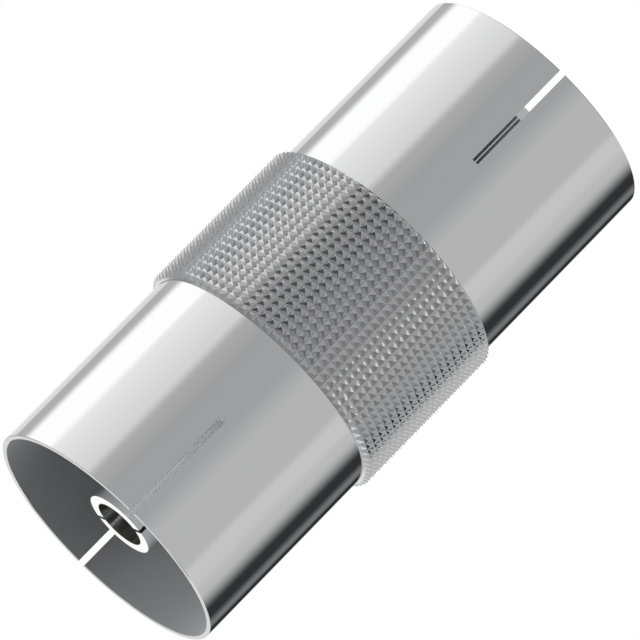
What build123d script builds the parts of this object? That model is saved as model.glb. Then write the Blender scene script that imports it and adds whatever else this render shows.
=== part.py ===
from build123d import *
from math import cos, pi, radians, sin, tan
import os

# Socket to socket coupler for coaxial aerial plugs with a 9.5 mm ring.
# It stands on one rim: +Z runs up its axis and the origin is the centre of the lower rim.
# The saw cuts of the sleeves face -Y and +Y.

# Outer shell, turned from one bar and plated
socket_bore = 9.52
socket_depth = 8.9
sleeve_wall = 0.19
land_width = 1.6
land_height = 0.86

# Saw cut across each mouth, which makes the sleeve springy
sleeve_slot_width = 0.25
sleeve_slot_length = 4.65

# Knurled grip, a grid of square pyramids with their feet just above the sleeves
grip_length = 6.5
grip_step = 0.02
knurl_depth = 0.28
knurl_rows = 20
knurl_teeth = 84

# Centre contact, a tube at both ends and solid in the middle
contact_bore = 2.0
contact_wall = 0.375
contact_recess = 0.7
contact_web = 3.1
contact_collar_height = 0.825
drill_point_angle = 118
finger_slot_width = 0.15
finger_slot_length = 6.5
finger_slot_turn = 59

# Insulator beads, one pushed in from each end against the land
bead_thickness = 1.55
bead_fit = 0.02
bead_lead_in = 0.25
spigot_length = 0.3

# Sizes that follow from these
shell_length = 2 * (socket_depth + bead_thickness) + land_width
middle = shell_length / 2
bore_radius = socket_bore / 2
sleeve_radius = bore_radius + sleeve_wall
land_radius = bore_radius - land_height
land_bottom = middle - land_width / 2
land_top = middle + land_width / 2
root_radius = sleeve_radius - sleeve_wall / 2
valley_radius = sleeve_radius + grip_step
grip_radius = valley_radius + knurl_depth
foot_radius = valley_radius * cos(pi / knurl_teeth)
foot_width = 2 * valley_radius * sin(pi / knurl_teeth)
grip_bottom = middle - grip_length / 2
grip_top = middle + grip_length / 2
row_pitch = grip_length / knurl_rows
contact_bottom = contact_recess
contact_top = shell_length - contact_recess
contact_radius = contact_bore / 2 + contact_wall
contact_collar_radius = contact_radius + contact_collar_height
collar_bottom = land_bottom + spigot_length
collar_top = land_top - spigot_length
pin_depth = (contact_top - contact_bottom - contact_web) / 2
drill_point = contact_bore / 2 / tan(radians(drill_point_angle / 2))


# Side view of one column of teeth, foot and crest in turn from its lower edge to its upper edge
def tooth_points():
    points = [(foot_radius, grip_bottom)]
    for row in range(knurl_rows):
        foot = grip_bottom + row * row_pitch
        points.append((grip_radius, foot + row_pitch / 2))
        points.append((foot_radius, foot + row_pitch))
    return points


# One column of the grip's teeth at +X: flat-faced pyramids whose root reaches into the sleeve's wall
with BuildPart() as tooth_column:
    with BuildSketch(Plane.XZ):
        with BuildLine():
            Polyline((root_radius, grip_bottom), *tooth_points(), (root_radius, grip_top), close=True)
        make_face()
    extrude(amount=foot_width, both=True)
    with BuildSketch(Plane.XY.offset(grip_bottom)):
        with BuildLine():
            Polyline(
                (0, 0),
                (foot_radius, -foot_width / 2),
                (grip_radius, 0),
                (foot_radius, foot_width / 2),
                close=True,
            )
        make_face()
    extrude(amount=grip_length, mode=Mode.INTERSECT)


# Outer shell: both sleeves, the grip and the land inside are one turned piece
with BuildPart() as outer_shell:
    with BuildSketch(Plane.XZ):
        with BuildLine():
            Polyline(
                (bore_radius, 0),
                (sleeve_radius, 0),
                (sleeve_radius, shell_length),
                (bore_radius, shell_length),
                (bore_radius, land_top),
                (land_radius, land_top),
                (land_radius, land_bottom),
                (bore_radius, land_bottom),
                close=True,
            )
        make_face()
    revolve(axis=Axis.Z)

    # The knurl is the same column all the way round
    with PolarLocations(0, knurl_teeth):
        add(tooth_column.part)

    # One saw cut across each mouth
    for mouth, inward in ((0, 1), (shell_length, -1)):
        with BuildSketch(Plane.XY.offset(mouth)):
            Rectangle(sleeve_slot_width, 4 * sleeve_radius)
        extrude(amount=inward * sleeve_slot_length, mode=Mode.SUBTRACT)


# Half section of a bead whose flange lies on the land at seat, with inward pointing to the middle
def bead_points(seat, inward):
    flange_radius = bore_radius - bead_fit
    spigot_radius = land_radius - bead_fit
    hole_radius = contact_radius + bead_fit
    spigot_end = seat + inward * spigot_length
    face = seat - inward * bead_thickness
    return [
        (hole_radius, spigot_end),
        (spigot_radius, spigot_end),
        (spigot_radius, seat),
        (flange_radius, seat),
        (flange_radius, face + inward * bead_lead_in),
        (flange_radius - bead_lead_in, face),
        (hole_radius, face),
    ]


# Lower bead, with its flange under the land and its spigot in the land's bore
with BuildPart() as lower_insulator:
    with BuildSketch(Plane.XZ):
        with BuildLine():
            Polyline(*bead_points(land_bottom, 1), close=True)
        make_face()
    revolve(axis=Axis.Z)


# Upper bead, the same moulding the other way up
with BuildPart() as upper_insulator:
    with BuildSketch(Plane.XZ):
        with BuildLine():
            Polyline(*bead_points(land_top, -1), close=True)
        make_face()
    revolve(axis=Axis.Z)


# Centre contact, with a collar that the two spigots hold between them
with BuildPart() as centre_contact:
    with BuildSketch(Plane.XZ):
        with BuildLine():
            Polyline(
                (0, contact_bottom),
                (contact_radius, contact_bottom),
                (contact_radius, collar_bottom),
                (contact_collar_radius, collar_bottom),
                (contact_collar_radius, collar_top),
                (contact_radius, collar_top),
                (contact_radius, contact_top),
                (0, contact_top),
                close=True,
            )
        make_face()
    revolve(axis=Axis.Z)

    for mouth, inward in ((contact_bottom, 1), (contact_top, -1)):
        # Bore for the plug's pin, which ends in the cone of the drill's point
        with BuildSketch(Plane.XZ):
            with BuildLine():
                Polyline(
                    (0, mouth),
                    (contact_bore / 2, mouth),
                    (contact_bore / 2, mouth + inward * pin_depth),
                    (0, mouth + inward * (pin_depth + drill_point)),
                    close=True,
                )
            make_face()
        revolve(axis=Axis.Z, mode=Mode.SUBTRACT)

        # Saw cut that leaves two springy fingers
        with BuildSketch(Plane.XY.offset(mouth)):
            Rectangle(4 * contact_radius, finger_slot_width, rotation=finger_slot_turn)
        extrude(amount=inward * finger_slot_length, mode=Mode.SUBTRACT)


# One file for each piece
os.makedirs("parts", exist_ok=True)
outer_shell.part.label = "outer_shell"
export_step(outer_shell.part, "parts/outer_shell.step")
lower_insulator.part.label = "lower_insulator"
export_step(lower_insulator.part, "parts/lower_insulator.step")
upper_insulator.part.label = "upper_insulator"
export_step(upper_insulator.part, "parts/upper_insulator.step")
centre_contact.part.label = "centre_contact"
export_step(centre_contact.part, "parts/centre_contact.step")
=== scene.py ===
from math import cos, pi, radians, sin

import bmesh
import bpy
from mathutils import Matrix, Vector


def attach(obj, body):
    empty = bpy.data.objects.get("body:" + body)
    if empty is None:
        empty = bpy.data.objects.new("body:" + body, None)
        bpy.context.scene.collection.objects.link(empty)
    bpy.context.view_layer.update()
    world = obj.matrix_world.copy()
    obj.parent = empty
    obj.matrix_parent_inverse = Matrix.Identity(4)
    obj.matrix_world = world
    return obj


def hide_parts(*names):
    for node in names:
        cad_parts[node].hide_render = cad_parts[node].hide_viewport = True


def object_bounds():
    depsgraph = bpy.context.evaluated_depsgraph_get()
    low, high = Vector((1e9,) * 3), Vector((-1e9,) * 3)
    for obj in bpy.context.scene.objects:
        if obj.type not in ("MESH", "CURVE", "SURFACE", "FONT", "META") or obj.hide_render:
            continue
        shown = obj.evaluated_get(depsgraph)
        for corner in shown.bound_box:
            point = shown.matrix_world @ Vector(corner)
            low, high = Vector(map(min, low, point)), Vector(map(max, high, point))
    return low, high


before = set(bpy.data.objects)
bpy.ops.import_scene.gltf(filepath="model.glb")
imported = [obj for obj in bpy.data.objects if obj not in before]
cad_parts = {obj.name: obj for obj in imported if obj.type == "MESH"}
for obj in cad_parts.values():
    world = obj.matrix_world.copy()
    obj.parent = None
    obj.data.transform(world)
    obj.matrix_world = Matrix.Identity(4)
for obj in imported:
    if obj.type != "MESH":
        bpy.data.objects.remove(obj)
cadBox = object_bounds()
print("frame loaded")

middle = (cadBox[0] + cadBox[1]) / 2
hair = 0.000001  # places that lie nearer than this count as the same


def addNode(tree, kind, place, **settings):
    node = tree.nodes.new(kind)
    node.location = place
    for name, value in settings.items():
        setattr(node, name, value)
    return node


def addMaths(tree, operation, place, first, second=None, third=None, clamp=False):
    node = addNode(tree, "ShaderNodeMath", place, operation=operation, use_clamp=clamp)
    for socket, value in zip(node.inputs, (first, second, third)):
        if isinstance(value, bpy.types.NodeSocket):
            tree.links.new(value, socket)
        elif value is not None:
            socket.default_value = value
    return node.outputs[0]


def addPlace(tree, place):
    # X, Y and Z of a point in its object's own metres
    source = addNode(tree, "ShaderNodeTexCoord", place)
    split = addNode(tree, "ShaderNodeSeparateXYZ", (place[0] + 200, place[1]))
    tree.links.new(source.outputs["Object"], split.inputs[0])
    return split.outputs


def addReach(tree, place, x, y):
    # Distance of a point from the upright axis
    left, level = place
    square = addMaths(tree, "MULTIPLY", (left, level), x, x)
    square = addMaths(tree, "MULTIPLY_ADD", (left + 200, level), y, y, square)
    return addMaths(tree, "SQRT", (left + 400, level), square)


def newGroup(name, numbers, outputs):
    # Named inputs are plain numbers with a default, and every output is a value
    group = bpy.data.node_groups.new(name, "ShaderNodeTree")
    for socketName, value in numbers.items():
        socket = group.interface.new_socket(socketName, in_out="INPUT", socket_type="NodeSocketFloat")
        socket.default_value = value
    for socketName in outputs:
        group.interface.new_socket(socketName, in_out="OUTPUT", socket_type="NodeSocketFloat")
    start = addNode(group, "NodeGroupInput", (-900, 0))
    end = addNode(group, "NodeGroupOutput", (700, 0))
    return group, start, end


def placeGroup(tree, group, place, numbers):
    node = addNode(tree, "ShaderNodeGroup", place, node_tree=group)
    for name, value in numbers.items():
        node.inputs[name].default_value = value
    return node


def newMaterial(name):
    material = bpy.data.materials.new(name)
    material.use_nodes = True
    tree = material.node_tree
    tree.nodes.clear()
    output = addNode(tree, "ShaderNodeOutputMaterial", (900, 0))
    return material, tree, output


def mixShaders(tree, factor, first, second, output):
    # The first shader shows where the factor is 0 and the second where it is 1
    mix = addNode(tree, "ShaderNodeMixShader", (400, 0))
    for source, socket in zip((factor, first.outputs[0], second.outputs[0]), mix.inputs):
        tree.links.new(source, socket)
    tree.links.new(mix.outputs[0], output.inputs["Surface"])


def placeMesh(name, bm):
    mesh = bpy.data.meshes.new(name)
    bm.to_mesh(mesh)
    bm.free()
    piece = bpy.data.objects.new(name, mesh)
    bpy.context.scene.collection.objects.link(piece)
    return piece


# Lathe marks: rings round the axis that vary only along it
def makeLatheGroup():
    group, start, end = newGroup("latheMarks", {"Rings per mm": 12.0}, ["Height"])
    height = addPlace(group, (-900, -200))["Z"]
    perMetre = addMaths(group, "MULTIPLY", (-700, 100), start.outputs["Rings per mm"], 1000.0)
    along = addMaths(group, "MULTIPLY", (-500, 0), height, perMetre)
    rings = addNode(group, "ShaderNodeTexNoise", (-200, 0), noise_dimensions="1D")
    rings.inputs["Scale"].default_value = 1.0
    rings.inputs["Detail"].default_value = 3.0
    group.links.new(along, rings.inputs["W"])
    group.links.new(rings.outputs["Fac"], end.inputs["Height"])
    return group


# Handling marks: soft cloudy patches of slightly duller plating
def makeSmudgeGroup():
    group, start, end = newGroup("handlingMarks", {"Size mm": 4.0}, ["Mask"])
    place = addNode(group, "ShaderNodeTexCoord", (-900, -200))
    perMetre = addMaths(group, "DIVIDE", (-700, 100), 1000.0, start.outputs["Size mm"])
    cloud = addNode(group, "ShaderNodeTexNoise", (-300, 0))
    cloud.inputs["Detail"].default_value = 4.0
    group.links.new(place.outputs["Object"], cloud.inputs["Vector"])
    group.links.new(perMetre, cloud.inputs["Scale"])
    group.links.new(cloud.outputs["Fac"], end.inputs["Mask"])
    return group


# Mask of what lies inside a radius round the axis, such as the wall of a drilled hole
def makeHoleGroup():
    group, start, end = newGroup("holeMask", {"Radius": 0.001}, ["Mask"])
    spot = addPlace(group, (-900, -200))
    away = addReach(group, (-500, -200), spot["X"], spot["Y"])
    inside = addMaths(group, "LESS_THAN", (100, 0), away, start.outputs["Radius"])
    group.links.new(inside, end.inputs["Mask"])
    return group


latheMarks = makeLatheGroup()
holeMask = makeHoleGroup()
handlingMarks = makeSmudgeGroup()

# Roughness runs from the clean surface to the smudged one, and ring depths and radii are in metres
shellLook = {
    "colour": (0.79, 0.79, 0.795, 1),
    "roughness": (0.03, 0.07),
    "ringsPerMm": 14.0,
    "ringDepth": 0.00000004,
    "smudgeMm": 3.0,
}
# The grip's colour, darker than the sleeve's though it is the same plating, is painted shade that dims the
# knurl's reflections
gripPaintedShadeLook = {
    "colour": (0.735, 0.735, 0.74, 1),
    "roughness": (0.04, 0.09),
    "ringsPerMm": 14.0,
    "ringDepth": 0.00000004,
    "smudgeMm": 3.0,
}
# The rims' colour, darker than the sleeve's though it is the same plating, is painted shade on the end faces;
# their higher roughness is their own
rimPaintedShadeLook = {
    "colour": (0.58, 0.58, 0.585, 1),
    "roughness": (0.06, 0.12),
    "ringsPerMm": 14.0,
    "ringDepth": 0.0,
    "smudgeMm": 2.0,
}
# The bore's dark, mostly non-metal colour is painted shade inside the sockets; its rougher finish than the
# sleeve is its own
borePaintedShadeLook = {
    "colour": (0.22, 0.23, 0.234, 1),
    "metal": 0.15,
    "roughness": (0.3, 0.4),
    "ringsPerMm": 10.0,
    "ringDepth": 0.0000006,
    "smudgeMm": 3.0,
}
contactLook = {
    "colour": (0.94, 0.94, 0.93, 1),
    "roughness": (0.03, 0.06),
    "ringsPerMm": 16.0,
    "ringDepth": 0.00000003,
    "smudgeMm": 1.5,
    "drilledRadius": 0.00103,
    "drilledRoughness": 0.17,
}
insulatorLook = {
    "colour": (0.88, 0.88, 0.85, 1),
    "roughness": (0.38, 0.5),
    "smudgeMm": 2.0,
}


def addSmudges(tree, look, clean=0.0, dull=1.0):
    # Clean and dull are the mask's values at which each roughness is reached
    marks = placeGroup(tree, handlingMarks, (-300, 0), {"Size mm": look["smudgeMm"]})
    spread = addNode(tree, "ShaderNodeMapRange", (0, 0))
    tree.links.new(marks.outputs["Mask"], spread.inputs["Value"])
    spread.inputs["From Min"].default_value = clean
    spread.inputs["From Max"].default_value = dull
    spread.inputs["To Min"].default_value = look["roughness"][0]
    spread.inputs["To Max"].default_value = look["roughness"][1]
    return spread.outputs["Result"]


def makePlating(name, look):
    material, tree, output = newMaterial(name)
    surface = addNode(tree, "ShaderNodeBsdfPrincipled", (500, 0))
    surface.inputs["Base Color"].default_value = look["colour"]
    surface.inputs["Metallic"].default_value = look.get("metal", 1.0)
    rough = addSmudges(tree, look, clean=0.3, dull=0.7)
    if "drilledRadius" in look:
        hole = placeGroup(tree, holeMask, (0, 300), {"Radius": look["drilledRadius"]})
        duller = addMaths(tree, "MULTIPLY", (200, 300), hole.outputs["Mask"], look["drilledRoughness"])
        rough = addMaths(tree, "MAXIMUM", (350, 200), rough, duller)
    tree.links.new(rough, surface.inputs["Roughness"])
    rings = placeGroup(tree, latheMarks, (-300, -300), {"Rings per mm": look["ringsPerMm"]})
    bump = addNode(tree, "ShaderNodeBump", (200, -300))
    bump.inputs["Distance"].default_value = look["ringDepth"]
    tree.links.new(rings.outputs["Height"], bump.inputs["Height"])
    tree.links.new(bump.outputs["Normal"], surface.inputs["Normal"])
    tree.links.new(surface.outputs[0], output.inputs["Surface"])
    return material


def makePlastic(name, look):
    material, tree, output = newMaterial(name)
    surface = addNode(tree, "ShaderNodeBsdfPrincipled", (500, 0))
    surface.inputs["Base Color"].default_value = look["colour"]
    tree.links.new(addSmudges(tree, look), surface.inputs["Roughness"])
    tree.links.new(surface.outputs[0], output.inputs["Surface"])
    return material


shellPlating = makePlating("shellPlating", shellLook)
borePaintedShadePlating = makePlating("borePaintedShadePlating", borePaintedShadeLook)
gripPaintedShadePlating = makePlating("gripPaintedShadePlating", gripPaintedShadeLook)
rimPaintedShadePlating = makePlating("rimPaintedShadePlating", rimPaintedShadeLook)
contactPlating = makePlating("contactPlating", contactLook)
insulatorPlastic = makePlastic("insulatorPlastic", insulatorLook)

finishes = {
    "outer_shell": shellPlating,
    "centre_contact": contactPlating,
    "lower_insulator": insulatorPlastic,
    "upper_insulator": insulatorPlastic,
}
for nodeName, material in finishes.items():
    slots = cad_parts[nodeName].data.materials
    slots.clear()
    slots.append(material)
print("materials placed")


# The shell as it leaves the machine: broken rims, sawn slots and V grooves that leave pointed teeth
shellForm = {
    "length": 0.0225,
    "boreRadius": 0.00476,
    "sleeveRadius": 0.00495,
    "landRadius": 0.0039,
    "landLength": 0.0016,
    "rimBreak": 0.00002,
    "slotWidth": 0.00025,
    "slotLength": 0.00465,
    "gripLength": 0.0065,
    "rows": 20,
    "teeth": 84,
    "tipRadius": 0.00525,
    "valleyRadius": 0.00496,
    "skirtDepth": 0.00008,  # how far the grip's two edges are drawn in below the sleeve
    "stepsPerTooth": 3,
    "sharpAngle": 30,  # edges that turn by more degrees than this stay sharp
}
shellFinishes = {"sleeve": shellPlating, "bore": borePaintedShadePlating, "grip": gripPaintedShadePlating, "rim": rimPaintedShadePlating}


def spinRound(bm, geom, steps):
    bmesh.ops.spin(bm, geom=geom, cent=(0, 0, 0), axis=(0, 0, 1), angle=2 * pi, steps=steps, use_merge=True)


def spinTube(bm, form):
    # Half section, spun from the camera's side so that the middle of each slot falls on a whole step
    bore, sleeve, cut, length = form["boreRadius"], form["sleeveRadius"], form["rimBreak"], form["length"]
    slot = form["slotLength"]
    landLow, landHigh = (length - form["landLength"]) / 2, (length + form["landLength"]) / 2
    section = [
        (bore + cut, 0), (sleeve - cut, 0), (sleeve, cut), (sleeve, slot),
        (sleeve, length - slot), (sleeve, length - cut), (sleeve - cut, length), (bore + cut, length),
        (bore, length - cut), (bore, length - slot), (bore, landHigh), (form["landRadius"], landHigh),
        (form["landRadius"], landLow), (bore, landLow), (bore, slot), (bore, cut),
    ]
    points = [bm.verts.new((0, -radius, height)) for radius, height in section]
    edges = [bm.edges.new((points[i - 1], points[i])) for i in range(len(points))]
    steps = form["teeth"] * form["stepsPerTooth"]
    spinRound(bm, points + edges, steps)
    return 2 * pi / steps


def sawSlots(bm, form, step):
    # Takes out the step on each side of a cut, then draws in and closes its walls and its end
    halfStep = form["sleeveRadius"] * sin(step) / 2
    slot, length = form["slotLength"] + hair, form["length"]
    mouthFaces = [
        f for f in bm.faces if min(f.calc_center_median().z, length - f.calc_center_median().z) < slot
    ]
    gone = [f for f in mouthFaces if all(abs(v.co.x) < 3 * halfStep for v in f.verts)]
    bmesh.ops.delete(bm, geom=gone, context="FACES")
    rims = [v for v in bm.verts if any(e.is_boundary for e in v.link_edges)]
    for v in rims:
        if abs(v.co.x) > halfStep:
            v.co.x = form["slotWidth"] / 2 if v.co.x > 0 else -form["slotWidth"] / 2
    for mouth in (0, length):
        for side in (-1, 1):
            ring = [v for v in rims if v.co.y * side > 0 and abs(v.co.z - mouth) < slot]
            ends = [v for v in ring if abs(v.co.z - mouth) > slot - 2 * hair]
            for wall in (-1, 1):
                bmesh.ops.contextual_create(bm, geom=[v for v in ring if v.co.x * wall > hair])
            bmesh.ops.contextual_create(bm, geom=ends)


def knurlGrip(bm, form):
    # A band of square facets, each drawn out to a tooth whose flanks are the V grooves
    low = (form["length"] - form["gripLength"]) / 2
    valley, rows, pitch = form["valleyRadius"], form["rows"], form["gripLength"] / form["rows"]
    facetRadius = valley * cos(pi / form["teeth"])
    turn = Matrix.Rotation(pi / form["teeth"], 3, "Z")
    heights = [low + pitch * row for row in range(rows + 1)]
    points = [bm.verts.new(turn @ Vector((0, -valley, height))) for height in heights]
    edges = [bm.edges.new(pair) for pair in zip(points, points[1:])]
    spinRound(bm, points + edges, form["teeth"])
    grip = [f for f in bm.faces if abs(f.calc_center_median().xy.length - facetRadius) < hair]
    bmesh.ops.recalc_face_normals(bm, faces=grip)
    bmesh.ops.poke(bm, faces=grip, offset=form["tipRadius"] - facetRadius)
    for end in (heights[0], heights[-1]):
        rim = [e for e in bm.edges if e.is_boundary and all(abs(v.co.z - end) < hair for v in e.verts)]
        skirt = bmesh.ops.extrude_edge_only(bm, edges=rim)["geom"]
        for v in (v for v in skirt if isinstance(v, bmesh.types.BMVert)):
            v.co.xy *= (form["sleeveRadius"] - form["skirtDepth"]) / v.co.xy.length


def finishAt(place, form):
    # Which of the shell's finishes a face has, from where its middle stands
    out, end = place.xy.length, min(place.z, form["length"] - place.z)
    if end < hair:
        return "rim"
    if out < form["boreRadius"] + hair:
        return "bore"
    return "grip" if out > form["valleyRadius"] else "sleeve"


def makeShell():
    bm = bmesh.new()
    step = spinTube(bm, shellForm)
    sawSlots(bm, shellForm, step)
    knurlGrip(bm, shellForm)
    bmesh.ops.recalc_face_normals(bm, faces=bm.faces)
    finishNames = list(shellFinishes)
    for face in bm.faces:
        face.smooth = True
        face.material_index = finishNames.index(finishAt(face.calc_center_median(), shellForm))
    for edge in bm.edges:
        edge.smooth = edge.calc_face_angle(0) < radians(shellForm["sharpAngle"])
    shell = placeMesh("turnedShell", bm)
    for plating in shellFinishes.values():
        shell.data.materials.append(plating)
    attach(shell, "root")
    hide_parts("outer_shell")
    print("shell", len(shell.data.polygons), "faces")


makeShell()


# Studio: white floor and surroundings, which light the part more dimly than they look
studio = {
    "worldLight": 0.9,
    "floorDrop": 0.28,
    "floorSize": 40.0,
    "floorTone": 0.85,
}


def addSeen(tree):
    # 1 for the camera and for reflections, and 0 for the light that falls on the part
    path = addNode(tree, "ShaderNodeLightPath", (-600, 0))
    seen = addMaths(tree, "ADD", (-400, 0), path.outputs["Is Camera Ray"], path.outputs["Is Glossy Ray"])
    return addMaths(tree, "ADD", (-200, 0), seen, path.outputs["Is Transmission Ray"], clamp=True)


def makeWorld():
    world = bpy.data.worlds.new("studioWorld")
    bpy.context.scene.world = world
    world.use_nodes = True
    tree = world.node_tree
    tree.nodes.clear()
    output = addNode(tree, "ShaderNodeOutputWorld", (600, 0))
    plain = addNode(tree, "ShaderNodeBackground", (200, -200))
    plain.inputs["Color"].default_value = (1, 1, 1, 1)
    plain.inputs["Strength"].default_value = studio["worldLight"]
    white = addNode(tree, "ShaderNodeBackground", (200, -400))
    white.inputs["Color"].default_value = (1, 1, 1, 1)
    mixShaders(tree, addSeen(tree), plain, white, output)


def makeFloor():
    bm = bmesh.new()
    bmesh.ops.create_grid(bm, x_segments=1, y_segments=1, size=studio["floorSize"] / 2)
    bmesh.ops.translate(bm, verts=bm.verts, vec=(0, 0, -studio["floorDrop"]))
    floor = placeMesh("floor", bm)
    material, tree, output = newMaterial("paleFloor")
    plain = addNode(tree, "ShaderNodeBsdfDiffuse", (200, -200))
    plain.inputs["Color"].default_value = (*[studio["floorTone"]] * 3, 1)
    white = addNode(tree, "ShaderNodeEmission", (200, -400))
    mixShaders(tree, addSeen(tree), plain, white, output)
    floor.data.materials.append(material)


makeWorld()
makeFloor()


# Tent: curved screens round the part, which its plating mirrors and the camera does not see.
# Angles are in degrees. Those round the part count from the camera's side, positive to its -X side.
tent = {
    "radius": 0.24,  # of the wall's first panel
    "tierGap": 0.03,  # how much further out the tiers begin
    "nearer": 0.0015,  # how much nearer each screen stands than the one before it
    "wallHeights": (-27, -7),
    "wallSoftRise": 5,
    "riseSteps": 24,
    "turnStep": 3,
}

# Panels of the wall, a band a little below level that the sleeves mirror.
# Each begins at its own angle and runs on behind the next, unless it says where it ends.
tentWall = {
    "rearLeftScreen": {"begins": -200, "blend": 6, "tones": (0.92, 0.76)},
    "rearLeftStripe": {"begins": -149, "blend": 4, "tones": (0.48, 0.64)},
    "softbox": {"begins": -134, "blend": 14, "tones": (1.24, 1.24)},
    "leftScreen": {"begins": -96, "blend": 8, "tones": (1.03, 0.68)},
    "frontScreen": {"begins": -52, "blend": 10, "tones": (0.54, 0.32)},
    "cameraScreen": {"begins": -32, "blend": 12, "tones": (0.43, 0.455), "tint": (0.985, 1.0, 1.02)},
    "frontRightScreen": {"begins": 6, "blend": 24, "tones": (0.56, 0.58)},
    "rightGlow": {"begins": 64, "blend": 8, "tones": (0.7, 0.66)},
    "rightScreen": {"begins": 84, "blend": 8, "tones": (0.63, 0.5)},
    "rightFlag": {"begins": 97, "blend": 24, "tones": (0.04, 0.03), "tint": (0.92, 1.0, 1.06)},
    "rightStrip": {"begins": 130, "blend": 14, "ends": 164, "tones": (0.21, 0.2), "tint": (0.95, 1.0, 1.03)},
    "rearFlag": {"begins": 146, "blend": 12, "ends": 174, "tones": (0.02, 0.02), "tint": (0.92, 1.0, 1.06)},
}

# Screens above and below the wall: from and to are angles round the part, low and high are angles above level
tentTiers = {
    "rearLeftShade": {"from": -190, "to": -116, "low": -16, "high": 42, "soft": 10, "tones": (0.39, 0.39)},
    "rearRightShade": {"from": 108, "to": 190, "low": -16, "high": 40, "soft": 10, "tones": (0.7, 0.7)},
    "frontShade": {"from": -126, "to": 118, "low": -16, "high": 42, "soft": 10, "tones": (0.6, 0.6)},
    "rimCard": {"from": 166, "to": 194, "low": 6, "high": 28, "soft": 5, "tones": (1.02, 1.02)},
    "rightHighCard": {"from": 100, "to": 172, "low": 32, "high": 66, "soft": 6, "tones": (0.95, 0.95)},
    "leftHighShade": {"from": -190, "to": -70, "low": 32, "high": 66, "soft": 8, "tones": (0.5, 0.5)},
    "frontHighShade": {"from": -82, "to": 108, "low": 32, "high": 66, "soft": 8, "tones": (0.35, 0.35)},
    "topScreen": {"from": -180, "to": 180, "low": 58, "high": 90, "soft": 8, "tones": (0.48, 0.48)},
    "rearLowShade": {"from": 104, "to": 240, "low": -56, "high": -18, "soft": 10, "tones": (0.3, 0.4)},
    "rightLowShade": {"from": 10, "to": 120, "low": -56, "high": -18, "soft": 10, "tones": (0.33, 0.33)},
    "frontLowShade": {"from": -32, "to": 30, "low": -56, "high": -18, "soft": 10, "tones": (0.2, 0.25)},
    "leftLowFlag": {"from": -66, "to": -12, "low": -56, "high": -18, "soft": 8, "tones": (0.12, 0.12)},
    "softboxFoot": {
        "from": -142, "to": -57, "low": -42, "high": -18, "soft": 8, "softTurn": 26, "tones": (1.35, 1.2)
    },
    "underFlag": {"from": -180, "to": 180, "low": -90, "high": -46, "soft": 8, "tones": (0.1, 0.1)},
}


# Soft-edged mask of a screen, from the angles at which its points stand round the part
def makeScreenGroup():
    sizes = {"Half width": 20.0, "Half height": 20.0, "Rise": 0.0, "Soft turn": 6.0, "Soft rise": 6.0}
    group, start, end = newGroup("screenMask", sizes, ["Mask", "Across"])
    x, y, z = addPlace(group, (-1500, -200))
    left = addMaths(group, "MULTIPLY", (-1100, 0), x, -1.0)
    near = addMaths(group, "MULTIPLY", (-1100, -200), y, -1.0)
    turn = addMaths(group, "ARCTAN2", (-900, 0), left, near)
    turn = addMaths(group, "DEGREES", (-700, 0), turn)
    away = addReach(group, (-900, -300), x, y)
    rise = addMaths(group, "ARCTAN2", (-300, -300), z, away)
    rise = addMaths(group, "DEGREES", (-100, -300), rise)
    rise = addMaths(group, "SUBTRACT", (0, -300), rise, start.outputs["Rise"])
    masks = []
    for angle, half, soft, level in (
        (turn, "Half width", "Soft turn", 0),
        (rise, "Half height", "Soft rise", -400),
    ):
        # Smoothstep of how far inside its edge a point stands
        off = addMaths(group, "ABSOLUTE", (100, level), angle)
        inside = addMaths(group, "SUBTRACT", (200, level), start.outputs[half], off)
        inside = addMaths(group, "DIVIDE", (300, level), inside, start.outputs[soft], clamp=True)
        square = addMaths(group, "MULTIPLY", (350, level), inside, inside)
        slope = addMaths(group, "MULTIPLY_ADD", (400, level), inside, -2.0, 3.0)
        masks.append(addMaths(group, "MULTIPLY", (450, level), square, slope))
    group.links.new(addMaths(group, "MULTIPLY", (550, 0), masks[0], masks[1]), end.inputs["Mask"])
    across = addMaths(group, "DIVIDE", (300, 300), turn, start.outputs["Half width"])
    across = addMaths(group, "MULTIPLY_ADD", (500, 300), across, 0.5, 0.5)
    group.links.new(across, end.inputs["Across"])
    return group


screenMask = makeScreenGroup()


def makeGlow(name, sizes, tones, tint):
    # Light that runs between two tones across the screen and fades to clear at its edges
    material, tree, output = newMaterial(name)
    mask = placeGroup(tree, screenMask, (-500, 0), sizes)
    tone = addNode(tree, "ShaderNodeMapRange", (-200, 0))
    tree.links.new(mask.outputs["Across"], tone.inputs["Value"])
    tone.inputs["To Min"].default_value = tones[0]
    tone.inputs["To Max"].default_value = tones[1]
    glow = addNode(tree, "ShaderNodeEmission", (100, 0))
    glow.inputs["Color"].default_value = (*tint, 1)
    tree.links.new(tone.outputs["Result"], glow.inputs["Strength"])
    clear = addNode(tree, "ShaderNodeBsdfTransparent", (100, 200))
    mixShaders(tree, mask.outputs["Mask"], clear, glow, output)
    return material


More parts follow.
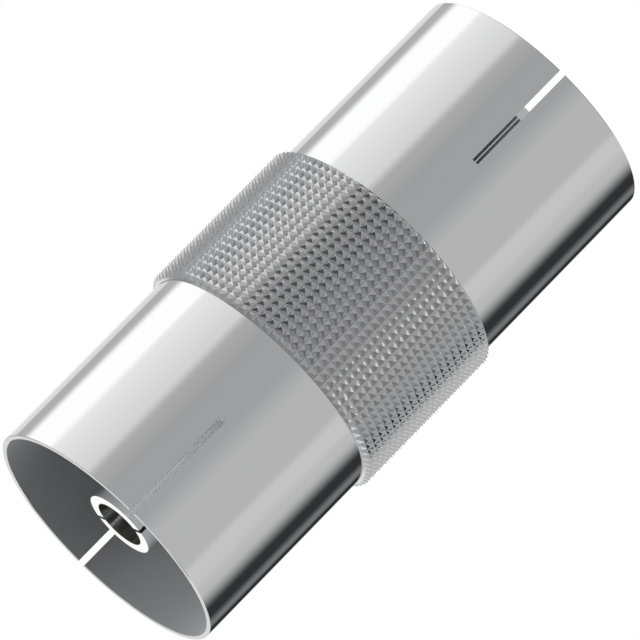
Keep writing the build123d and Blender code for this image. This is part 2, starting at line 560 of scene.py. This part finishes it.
def makeScreen(name, radius, turns, rises, softTurn, softRise, tones, tint):
    turn, rise = sum(turns) / 2, sum(rises) / 2
    width, height = turns[1] - turns[0], rises[1] - rises[0]
    low, steps = radians(rises[0]), int(width / tent["turnStep"])
    bm = bmesh.new()
    foot = bm.verts.new((0, -radius * cos(low), radius * sin(low)))
    bmesh.ops.spin(
        bm, geom=[foot], cent=(0, 0, 0), axis=(1, 0, 0), angle=-radians(height), steps=tent["riseSteps"]
    )
    back = Matrix.Rotation(-radians(width / 2), 3, "Z")
    bmesh.ops.rotate(bm, verts=bm.verts, cent=(0, 0, 0), matrix=back)
    arc = bm.verts[:] + bm.edges[:]
    bmesh.ops.spin(bm, geom=arc, cent=(0, 0, 0), axis=(0, 0, 1), angle=radians(width), steps=steps)
    screen = placeMesh(name, bm)
    screen.location = (0, 0, middle.z)
    screen.rotation_euler = (0, 0, -radians(turn))
    screen.visible_camera = False
    screen.visible_shadow = False
    # A screen that goes all the way round, or up or down to the axis, has no soft edge there
    overTop = softRise * ((rises[1] == 90) - (rises[0] == -90))
    sizes = {
        "Half width": width / 2 if width < 360 else width,
        "Half height": height / 2 + abs(overTop),
        "Rise": rise + overTop,
        "Soft turn": softTurn,
        "Soft rise": softRise,
    }
    screen.data.materials.append(makeGlow(name, sizes, tones, tint))


def makeTent():
    panelNames = list(tentWall)
    for step, (name, panel) in enumerate(tentWall.items()):
        following = tentWall[panelNames[(step + 1) % len(panelNames)]]
        ends = panel.get("ends", following["begins"] + 2 * following["blend"] + panel["blend"])
        makeScreen(
            name,
            tent["radius"] - tent["nearer"] * step,
            (panel["begins"], ends),
            tent["wallHeights"],
            panel["blend"],
            tent["wallSoftRise"],
            panel["tones"],
            panel.get("tint", (1, 1, 1)),
        )
    for step, (name, tier) in enumerate(tentTiers.items()):
        makeScreen(
            name,
            tent["radius"] + tent["tierGap"] - tent["nearer"] * step,
            (tier["from"], tier["to"]),
            (tier["low"], tier["high"]),
            tier.get("softTurn", tier["soft"]),
            tier["soft"],
            tier["tones"],
            (1, 1, 1),
        )


makeTent()


# Soft lamps high behind and beside the part, which light the inside of its upper socket
lampForm = {"distance": 0.5, "size": 0.2}
lamps = {
    "rearLeftLamp": {"turn": -142, "rise": 50, "watts": 4.0},
    "rearRightLamp": {"turn": 142, "rise": 50, "watts": 4.0},
    "leftLamp": {"turn": -84, "rise": 46, "watts": 2.8},
    "rightLamp": {"turn": 84, "rise": 46, "watts": 0.3},
}


def makeLamp(name, turn, rise, watts):
    light = bpy.data.lights.new(name, "AREA")
    light.size = lampForm["size"]
    light.energy = watts
    lamp = bpy.data.objects.new(name, light)
    bpy.context.scene.collection.objects.link(lamp)
    back = Vector((-sin(turn) * cos(rise), -cos(turn) * cos(rise), sin(rise)))
    lamp.location = middle + back * lampForm["distance"]
    lamp.rotation_mode = "QUATERNION"
    lamp.rotation_quaternion = back.to_track_quat("Z", "Y")
    lamp.visible_glossy = False


for lampName, lamp in lamps.items():
    makeLamp(lampName, radians(lamp["turn"]), radians(lamp["rise"]), lamp["watts"])
print("studio placed")

# Camera: the part stands on its end, and the roll lays it across the picture
cameraLook = {
    "rise": 17.0,
    "distance": 0.34,
    "lens": 539.4,
    "sensor": 36.0,
    "roll": -135.54,
    "right": -0.0000215,
    "up": -0.0000203,
    "nearest": 0.01,
    "furthest": 100.0,
}


def makeCamera():
    camera = bpy.data.cameras.new("camera")
    camera.lens = cameraLook["lens"]
    camera.sensor_width = cameraLook["sensor"]
    camera.clip_start = cameraLook["nearest"]
    camera.clip_end = cameraLook["furthest"]
    holder = bpy.data.objects.new("camera", camera)
    bpy.context.scene.collection.objects.link(holder)
    rise, roll = radians(cameraLook["rise"]), radians(cameraLook["roll"])
    back = Vector((0, -cos(rise), sin(rise)))
    above = Vector((0, sin(rise), cos(rise)))
    side = Vector((1, 0, 0))
    right = side * cos(roll) + above * sin(roll)
    up = above * cos(roll) - side * sin(roll)
    turned = Matrix((right, up, back)).transposed().to_4x4()
    place = middle + back * cameraLook["distance"] + right * cameraLook["right"] + up * cameraLook["up"]
    holder.matrix_world = Matrix.Translation(place) @ turned
    bpy.context.scene.camera = holder


makeCamera()
bpy.context.scene.view_settings.view_transform = "Standard"
print("camera placed")
